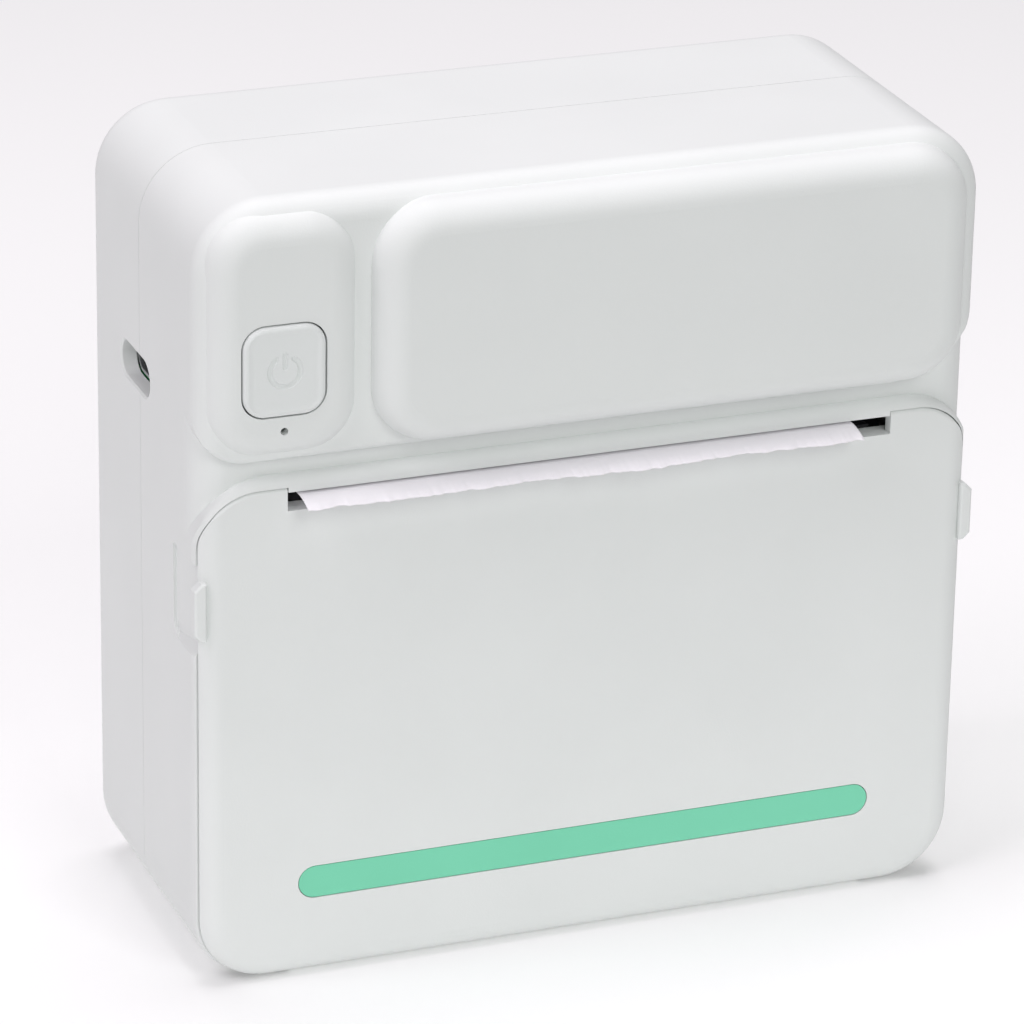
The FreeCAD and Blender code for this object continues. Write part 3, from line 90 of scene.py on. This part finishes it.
def object_noise(tree, scale, detail=4.0, roughness=0.5, stretch=(1, 1, 1)):
    """Noise in the object's own coordinates; scale is in cells per metre."""
    place = tree.nodes.new("ShaderNodeTexCoord")
    mapping = tree.nodes.new("ShaderNodeMapping")
    socket(mapping, "Scale", stretch)
    texture = tree.nodes.new("ShaderNodeTexNoise")
    socket(texture, "Scale", scale)
    socket(texture, "Detail", detail)
    socket(texture, "Roughness", roughness)
    link(tree, place, "Object", mapping, "Vector")
    link(tree, mapping, "Vector", texture, "Vector")
    return texture


def spread(tree, source, output, span, result):
    """Map a noise value onto a span of numbers."""
    node = tree.nodes.new("ShaderNodeMapRange")
    socket(node, "From Min", NOISE_SPAN[0])
    socket(node, "From Max", NOISE_SPAN[1])
    socket(node, "To Min", span[0])
    socket(node, "To Max", span[1])
    link(tree, source, output, node, "Value")
    tree.links.new(node.outputs["Result"], result)


def tint(tree, source, output, first, second, result):
    """Blend between two close colours by a noise value."""
    ramp = tree.nodes.new("ShaderNodeValToRGB")
    ramp.color_ramp.elements[0].position = TINT_SPAN[0]
    ramp.color_ramp.elements[0].color = (*first, 1)
    ramp.color_ramp.elements[1].position = TINT_SPAN[1]
    ramp.color_ramp.elements[1].color = (*second, 1)
    link(tree, source, output, ramp, "Fac")
    tree.links.new(ramp.outputs["Color"], result)


def add_bump(tree, shader, layers):
    """Chain of bumps: each layer is (texture node, output, height in metres, strength)."""
    normal = None
    for texture, output, height, strength in layers:
        bump = tree.nodes.new("ShaderNodeBump")
        socket(bump, "Strength", strength)
        socket(bump, "Distance", height)
        link(tree, texture, output, bump, "Height")
        if normal is not None:
            tree.links.new(normal, bump.inputs["Normal"])
        normal = bump.outputs["Normal"]
    tree.links.new(normal, shader.inputs["Normal"])


# ---------------------------------------------------------------- materials

def moulded_plastic(name, light, dark, rough=(0.48, 0.6), grain=0.00003, grain_scale=5200):
    """Matte ABS with the fine spark texture of its mould and faint flow marks."""
    material, tree, shader = blank_material(name)
    fine = object_noise(tree, grain_scale, detail=3)
    broad = object_noise(tree, scale=60, detail=2)
    tint(tree, broad, "Fac", dark, light, shader.inputs["Base Color"])
    spread(tree, fine, "Fac", rough, shader.inputs["Roughness"])
    flow = object_noise(tree, scale=420, detail=2, stretch=(1, 1, 1.4))
    add_bump(tree, shader, [(flow, "Fac", 0.00002, 0.25), (fine, "Fac", grain, 0.35)])
    socket(shader, "IOR", 1.5)
    socket(shader, "Specular IOR Level", 0.4)
    return material


def metal(name, colour, rough=(0.25, 0.4), stretch=(60, 60, 1), scale=120, grain=0.00001):
    """Metal with drawn or brushed marks along one axis."""
    material, tree, shader = blank_material(name)
    marks = object_noise(tree, scale, detail=6, roughness=0.7, stretch=stretch)
    darker = tuple(0.88 * channel for channel in colour)
    tint(tree, marks, "Fac", darker, colour, shader.inputs["Base Color"])
    spread(tree, marks, "Fac", rough, shader.inputs["Roughness"])
    add_bump(tree, shader, [(marks, "Fac", grain, 0.3)])
    socket(shader, "Metallic", 1.0)
    return material


def rubber_material():
    """Ground platen rubber with fine rings round its axis."""
    material, tree, shader = blank_material("platen_rubber_look")
    rings = object_noise(tree, scale=300, detail=5, roughness=0.7, stretch=(12, 1, 1))
    tint(tree, rings, "Fac", (0.012, 0.012, 0.013), (0.024, 0.024, 0.026), shader.inputs["Base Color"])
    spread(tree, rings, "Fac", (0.6, 0.8), shader.inputs["Roughness"])
    add_bump(tree, shader, [(rings, "Fac", 0.00002, 0.4)])
    return material


def board_material():
    """Green solder mask over copper tracks."""
    material, tree, shader = blank_material("board_look")
    place = tree.nodes.new("ShaderNodeTexCoord")
    tracks = tree.nodes.new("ShaderNodeTexBrick")
    socket(tracks, "Scale", 260)
    socket(tracks, "Mortar Size", 0.03)
    socket(tracks, "Color1", (0.012, 0.17, 0.055, 1))
    socket(tracks, "Color2", (0.010, 0.14, 0.045, 1))
    socket(tracks, "Mortar", (0.035, 0.28, 0.09, 1))
    link(tree, place, "Object", tracks, "Vector")
    link(tree, tracks, "Color", shader, "Base Color")
    fine = object_noise(tree, scale=900, detail=3)
    spread(tree, fine, "Fac", (0.22, 0.34), shader.inputs["Roughness"])
    add_bump(tree, shader, [(tracks, "Fac", 0.00003, 0.5), (fine, "Fac", 0.00001, 0.2)])
    return material


def paper_material(name, light, dark):
    """Thermal paper: soft fibres and a faintly calendered face."""
    material, tree, shader = blank_material(name)
    fibres = object_noise(tree, scale=1400, detail=8, roughness=0.7, stretch=(0.5, 1, 1))
    clouds = object_noise(tree, scale=90, detail=3)
    tint(tree, clouds, "Fac", dark, light, shader.inputs["Base Color"])
    spread(tree, fibres, "Fac", (0.5, 0.7), shader.inputs["Roughness"])
    add_bump(tree, shader, [(clouds, "Fac", 0.00006, 0.3), (fibres, "Fac", 0.00002, 0.5)])
    socket(shader, "Sheen Weight", 0.1)
    return material


def turn_rings(tree):
    """Rings round the roll's axis, one for each few turns of its paper."""
    place = tree.nodes.new("ShaderNodeTexCoord")
    centre = tree.nodes.new("ShaderNodeMapping")
    socket(centre, "Location", -middle("paper_roll"))
    turns = tree.nodes.new("ShaderNodeTexWave")
    turns.wave_type = "RINGS"
    turns.rings_direction = "X"
    socket(turns, "Scale", 800)
    socket(turns, "Distortion", 0.6)
    link(tree, place, "Object", centre, "Vector")
    link(tree, centre, "Vector", turns, "Vector")
    return turns


def roll_material():
    """Wound paper: fibres on the outside and the fine rings of its turns on the end faces."""
    material = paper_material("roll_look", (0.86, 0.85, 0.88), (0.83, 0.82, 0.85))
    tree = material.node_tree
    shader = tree.nodes["Principled BSDF"]
    turns = turn_rings(tree)
    bump = tree.nodes.new("ShaderNodeBump")
    socket(bump, "Strength", 0.3)
    socket(bump, "Distance", 0.00005)
    link(tree, turns, "Fac", bump, "Height")
    tree.links.new(shader.inputs["Normal"].links[0].from_socket, bump.inputs["Normal"])
    link(tree, bump, "Normal", shader, "Normal")
    return material


def paint(material, *nodes):
    """Give CAD nodes a material."""
    for node in nodes:
        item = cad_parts[node]
        item.data.materials.clear()
        item.data.materials.append(material)


def paint_outside():
    """Case, door, button and the strip in the door."""
    white = moulded_plastic("case_look", (0.79, 0.812, 0.80), (0.775, 0.797, 0.785))
    paint(white, "front_shell", "rear_shell", "door_panel", "door_inner_frame")
    paint(moulded_plastic("button_look", (0.775, 0.80, 0.79), (0.765, 0.79, 0.78), rough=(0.4, 0.5)),
          "power_button")
    paint(moulded_plastic("accent_look", (0.205, 0.70, 0.465), (0.197, 0.68, 0.448), rough=(0.42, 0.52)),
          "door_accent_strip")


def paint_inner_plastics():
    """Paper bay, gears, black mouldings and connectors."""
    paint(moulded_plastic("inner_look", (0.66, 0.67, 0.68), (0.63, 0.64, 0.65)), "paper_bay")
    paint(moulded_plastic("gear_look", (0.80, 0.77, 0.68), (0.77, 0.74, 0.65), rough=(0.3, 0.42)),
          "platen_gear", "idler_gear", "compound_gear")
    black = moulded_plastic("black_look", (0.018, 0.018, 0.02), (0.012, 0.012, 0.014), rough=(0.45, 0.6))
    # Black on the platen arms is partly painted shade: they stand in the dark inside the paper slot and
    # are made black so that they read as that shade, like the black bushings they hold.
    paint(black, "platen_bushings", "platen_arms", "tact_switch_plunger", "paper_sensor", "main_chip",
          "board_components", "head_driver_cover", "tact_switch_base", "usb_tongue")
    paint(moulded_plastic("connector_look", (0.82, 0.80, 0.72), (0.78, 0.76, 0.68)),
          "battery_connector", "ribbon_connector")


def paint_metals():
    """Sheet metal, shafts, screws, the pinion and the print head's heat sink."""
    paint(metal("sheet_look", (0.60, 0.61, 0.62)), "mechanism_frame", "motor_can")
    paint(metal("shaft_look", (0.66, 0.67, 0.68), stretch=(1, 40, 40)), "hinge_pins", "platen_shaft",
          "motor_shaft", "gear_axles", "head_pivot_pin", "tear_bar", "usb_socket")
    paint(metal("screw_look", (0.46, 0.46, 0.47)), "shell_screws", "frame_screws", "board_screws",
          "button_board_screws")
    paint(metal("brass_look", (0.70, 0.50, 0.22)), "motor_pinion")
    paint(metal("aluminium_look", (0.72, 0.73, 0.74), stretch=(1, 50, 50)), "print_head_heatsink")


def paint_working_parts():
    """Print head ceramic, platen rubber, boards, ribbon, light, battery and leads."""
    paint(moulded_plastic("ceramic_look", (0.76, 0.74, 0.70), (0.73, 0.71, 0.67), rough=(0.15, 0.25)),
          "print_head_ceramic")
    paint(rubber_material(), "platen_rubber")
    paint(board_material(), "main_board", "button_board")
    paint(moulded_plastic("ribbon_look", (0.50, 0.24, 0.05), (0.45, 0.21, 0.04), rough=(0.25, 0.35)),
          "head_ribbon")
    paint(moulded_plastic("light_look", (0.10, 0.11, 0.11), (0.08, 0.09, 0.09), rough=(0.15, 0.25)),
          "led_light_pipe", "status_led")
    foil = metal("foil_look", (0.62, 0.63, 0.64), rough=(0.35, 0.5), stretch=(1, 1, 1), scale=500,
                 grain=0.00005)
    paint(foil, "battery_cell")
    paint(moulded_plastic("foam_look", (0.03, 0.03, 0.03), (0.02, 0.02, 0.02), rough=(0.8, 0.95)),
          "battery_tape")
    paint(moulded_plastic("wire_look", (0.45, 0.012, 0.01), (0.40, 0.01, 0.008)), "battery_leads")


def paint_roll():
    """Wound paper and its card core."""
    paint(roll_material(), "paper_roll")
    paint(paper_material("card_look", (0.34, 0.23, 0.13), (0.29, 0.19, 0.10)), "roll_core")


# ---------------------------------------------------------------- torn paper

WEB_THICKNESS = 0.1 * MM
WEB_BEND_HEIGHT = 38.5 * MM      # where the web turns upwards, level with the foot of the print head
WEB_BEND_RADIUS = 2 * MM
WEB_RISE = 4.1 * MM              # from the platen's axis to the rising web, and radius of the next turn
WEB_BEND_STEPS = 6
WEB_CORNER_STEPS = 16
WEB_RUN_STEPS = 16               # steps of the straight run to the end strip
WEB_END_STEPS = 18               # steps of the end strip, where the tear needs them closer
WEB_END_STRIP = 1.2 * MM
WEB_DROOP = 0.6 * MM             # how far the free end hangs down
WEB_RIPPLE = 0.02 * MM
ROLL_GAP = 0.2 * MM              # from the roll's face to the middle of the web
TEAR_DEPTH = 0.42 * MM           # mean depth of the tear
TEAR_WAVES = ((9.0, 0.42), (2.6, 0.35), (1.1, 0.3), (0.4, 0.14))    # length and height in mm
TEAR_FIBRE = 0.5 * MM            # widest strip of bare fibres along the tear
FIBRE_LENGTH = 0.9 * MM
FULL_FACE = 0.5                  # share of the thickness from the middle to either face
BARE_FACE = 0.35                 # the same where the upper fibres are torn off
COLUMN_STEP = 0.14 * MM


def rounded_corner(before, corner, after, radius, steps):
    """Points of the arc that rounds a corner of a path in the YZ plane."""
    arriving = (corner - before).normalized()
    leaving = (after - corner).normalized()
    turn = arriving.angle(leaving)
    start = corner - arriving * radius * math.tan(turn / 2)
    centre = start + (leaving - arriving * arriving.dot(leaving)).normalized() * radius
    axis = arriving.cross(leaving).normalized()
    return [centre + Matrix.Rotation(turn * i / steps, 3, axis) @ (start - centre)
            for i in range(steps + 1)]


def web_path():
    """Points along the middle of the web, from the roll to its torn end, closest at the end."""
    platen = middle("platen_rubber")
    roll = middle("paper_roll")
    outer = high("paper_roll").z - roll.z + ROLL_GAP
    top = high("paper_web").z - WEB_THICKNESS / 2
    rise = platen.y + WEB_RISE
    bend = Vector((0, rise, WEB_BEND_HEIGHT))
    offset = bend - Vector((0, roll.y, roll.z))
    angle = math.atan2(offset.z, offset.y) - math.acos(outer / offset.length)
    start = Vector((0, roll.y + math.cos(angle) * outer, roll.z + math.sin(angle) * outer))
    corner = Vector((0, rise, top))
    tip = Vector((0, low("paper_web").y, top))
    path = [start]
    path += rounded_corner(start, bend, corner, WEB_BEND_RADIUS, WEB_BEND_STEPS)
    path += rounded_corner(bend, corner, tip, WEB_RISE, WEB_CORNER_STEPS)
    level = path[-1].y
    run = level - tip.y
    for i in range(1, WEB_RUN_STEPS + 1):
        path.append(Vector((0, level - (run - WEB_END_STRIP) * i / WEB_RUN_STEPS, top)))
    for i in range(1, WEB_END_STEPS + 1):
        path.append(Vector((0, tip.y + WEB_END_STRIP * (1 - i / WEB_END_STEPS), top)))
    return path


def tear_depth(x):
    """How far the tear lies behind the paper's furthest point."""
    depth = TEAR_DEPTH
    for length, height in TEAR_WAVES:
        depth += height * MM * noise.noise(Vector((x / (length * MM), length, 3.7)))
    return max(depth, 0)


def fibre_width(x):
    """Width of the strip at the tear where only the lower fibres are left."""
    return TEAR_FIBRE * (0.45 + 0.55 * noise.noise(Vector((x / FIBRE_LENGTH, 8.1, 0.4))))


def droop(x, share):
    """How far the free end hangs at a share of its length, a little unevenly across."""
    return WEB_DROOP * share ** 2 * (1 + 0.25 * noise.noise(Vector((x / (9 * MM), 1.3, 0))))


def ripple(x, point):
    """Slight waves of the sheet, along its normal."""
    cell = Vector((x / (5 * MM), point.y / (4 * MM), point.z / (6 * MM)))
    return WEB_RIPPLE * noise.noise(cell)


def web_point(x, place, path, mouth, upper):
    """Point of the web's upper or lower face, with its droop, waves and thinned tear."""
    before = path[max(place - 1, 0)]
    after = path[min(place + 1, len(path) - 1)]
    along = (after - before).normalized()
    normal = Vector((0, along.z, -along.y))
    point = path[place].copy()
    tip = path[-1].y
    edge = tear_depth(x)
    out = mouth - point.y
    if out > 0:
        share = out / (mouth - tip)
        point.y = mouth - out * (1 - edge / (mouth - tip))
        point.z -= droop(x, share)
    from_tear = point.y - tip - edge
    bare = from_tear < fibre_width(x) and out > 0
    thickness = WEB_THICKNESS * (BARE_FACE if bare and upper else FULL_FACE)
    point += normal * (ripple(x, point) + (thickness if upper else -thickness))
    point.x = x
    return point


def web_faces(rows, columns):
    """Faces of a closed sheet: its upper and lower faces, then its four edges."""
    wide = columns + 1
    sheet = rows * wide
    faces = []
    for row in range(rows - 1):
        for i in range(columns):
            a = row * wide + i
            faces.append((a, a + 1, a + 1 + wide, a + wide))
            faces.append((sheet + a, sheet + a + wide, sheet + a + 1 + wide, sheet + a + 1))
        for a, b in ((row * wide, (row + 1) * wide), ((row + 1) * wide + columns, row * wide + columns)):
            faces.append((a, b, sheet + b, sheet + a))
    for i in range(columns):
        last = (rows - 1) * wide + i
        faces.append((i + 1, i, sheet + i, sheet + i + 1))
        faces.append((last, last + 1, sheet + last + 1, sheet + last))
    return faces


def torn_web():
    """Sheet of thermal paper with a hand-torn end, in place of the plain web."""
    path = web_path()
    mouth = low("door_panel").y
    left, right = low("paper_web").x, high("paper_web").x
    columns = round((right - left) / COLUMN_STEP)
    rows = len(path)
    across = [left + (right - left) * i / columns for i in range(columns + 1)]
    points = [web_point(x, row, path, mouth, upper)
              for upper in (True, False) for row in range(rows) for x in across]
    mesh = bpy.data.meshes.new("torn_paper")
    mesh.from_pydata(points, [], web_faces(rows, columns))
    mesh.materials.append(paper_material("paper_look", (0.97, 0.945, 0.985), (0.955, 0.93, 0.97)))
    mesh.polygons.foreach_set("use_smooth", [True] * len(mesh.polygons))
    web = bpy.data.objects.new("torn_paper", mesh)
    bpy.context.collection.objects.link(web)
    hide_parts("paper_web")
    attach(web, "case")


# ---------------------------------------------------------------- print head springs


def pressed_springs():
    """Copy of the print head's springs with a metal material of its own, in place of the CAD node."""
    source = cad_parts["head_springs"]
    springs = bpy.data.objects.new("pressed_springs", source.data.copy())
    bpy.context.collection.objects.link(springs)
    springs.data.materials.clear()
    springs.data.materials.append(metal("pressed_spring_look", (0.52, 0.52, 0.53)))
    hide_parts("head_springs")
    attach(springs, "case")
    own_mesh(springs)


# ---------------------------------------------------------------- camera, light and floor

def aim(item, target, roll=0.0):
    """Turn a camera or lamp towards a point."""
    direction = (target - item.location).normalized()
    turn = direction.to_track_quat("-Z", "Y").to_matrix().to_4x4()
    tilt = Matrix.Rotation(math.radians(roll), 4, "Z")
    item.matrix_world = Matrix.Translation(item.location) @ turn @ tilt


CAMERA_AZIMUTH = math.radians(-21.3)
CAMERA_ELEVATION = math.radians(22.57)
CAMERA_ROLL = 1.11               # degrees
CAMERA_DISTANCE = 0.5538
CAMERA_TARGET = (0, 0.00162, 0.0402)
LENS = 195.9                     # focal length in mm, for a sensor 36 mm wide
SENSOR_WIDTH = 36
LENS_SHIFT = (-0.017, -0.0155)
NEAREST_SEEN = 0.01


def make_camera():
    """Long lens from the upper left of the front, as a product shot."""
    centre = Vector(CAMERA_TARGET)
    level = math.cos(CAMERA_ELEVATION)
    back = Vector((math.sin(CAMERA_AZIMUTH) * level, -math.cos(CAMERA_AZIMUTH) * level,
                   math.sin(CAMERA_ELEVATION)))
    data = bpy.data.cameras.new("camera")
    data.lens = LENS
    data.sensor_width = SENSOR_WIDTH
    data.shift_x, data.shift_y = LENS_SHIFT
    data.clip_start = NEAREST_SEEN
    camera = bpy.data.objects.new("camera", data)
    bpy.context.collection.objects.link(camera)
    camera.location = centre + back * CAMERA_DISTANCE
    aim(camera, centre, roll=CAMERA_ROLL)
    bpy.context.scene.camera = camera


def area_light(name, place, target, size, power, colour):
    """Soft square lamp; size in metres, power in watts."""
    data = bpy.data.lights.new(name, "AREA")
    data.shape = "SQUARE"
    data.size = size
    data.energy = power
    data.color = colour
    lamp = bpy.data.objects.new(name, data)
    bpy.context.collection.objects.link(lamp)
    lamp.location = place
    aim(lamp, target)


LAMP_TARGET = (0, 0, 0.04)
# name, place, size, power and colour
LAMPS = (
    ("top_lamp", (0.05, 0.1, 0.75), 0.5, 3.1, (1.0, 0.96, 1.0)),
    ("high_lamp", (0.1, -0.6, 0.5), 0.3, 1.4, (1.0, 1.0, 1.0)),
    ("front_lamp", (-0.28, -0.72, 0.25), 0.3, 1.1, (0.97, 1.0, 0.98)),
    ("left_lamp", (-0.5, -0.1, 0.6), 0.4, 1.9, (1.0, 0.93, 1.0)),
)
WORLD_STRENGTH = 0.18
FLOOR_REACH = 4.0
FLOOR_GLOW = 0.2
FLOOR_ROUGHNESS = 0.9
# The floor's tone goes from 0.25 at 160 mm in front of the object's middle to 0.8 at 40 mm.
FLOOR_FADE = (("From Min", -0.16), ("From Max", -0.04), ("To Min", 0.25), ("To Max", 0.8))


def light_the_object():
    """Soft lamps from above, the front and the left."""
    centre = Vector(LAMP_TARGET)
    for name, place, size, power, colour in LAMPS:
        area_light(name, Vector(place), centre, size, power, colour)


def surround():
    """Even white light from all round."""
    world = bpy.data.worlds.new("surroundings")
    world.use_nodes = True
    background = world.node_tree.nodes["Background"]
    socket(background, "Color", (1, 1, 1, 1))
    socket(background, "Strength", WORLD_STRENGTH)
    bpy.context.scene.world = world


def floor_material():
    """Pale glowing floor, darker towards the front, so that less light is thrown back up."""
    material, tree, shader = blank_material("floor_look")
    place = tree.nodes.new("ShaderNodeTexCoord")
    split = tree.nodes.new("ShaderNodeSeparateXYZ")
    link(tree, place, "Object", split, "Vector")
    fade = tree.nodes.new("ShaderNodeMapRange")
    fade.interpolation_type = "SMOOTHSTEP"
    for entry, value in FLOOR_FADE:
        socket(fade, entry, value)
    link(tree, split, "Y", fade, "Value")
    tone = tree.nodes.new("ShaderNodeCombineColor")
    for channel in ("Red", "Green", "Blue"):
        link(tree, fade, "Result", tone, channel)
    link(tree, tone, "Color", shader, "Base Color")
    socket(shader, "Roughness", FLOOR_ROUGHNESS)
    socket(shader, "Emission Color", (1, 1, 1, 1))
    socket(shader, "Emission Strength", FLOOR_GLOW)
    return material


def make_floor():
    """Large flat floor under the object."""
    mesh = bpy.data.meshes.new("floor")
    far = FLOOR_REACH
    corners = [(-far, -far, 0), (far, -far, 0), (far, far, 0), (-far, far, 0)]
    mesh.from_pydata(corners, [], [(0, 1, 2, 3)])
    mesh.materials.append(floor_material())
    floor = bpy.data.objects.new("floor", mesh)
    bpy.context.collection.objects.link(floor)


def look_through_standard():
    """Plain colour response, so that white plastic keeps its tone."""
    scene = bpy.context.scene
    scene.view_settings.view_transform = "Standard"
    scene.view_settings.look = "None"


make_camera()
light_the_object()
surround()
make_floor()
look_through_standard()
paint_outside()
paint_inner_plastics()
paint_metals()
paint_working_parts()
paint_roll()
torn_web()
pressed_springs()
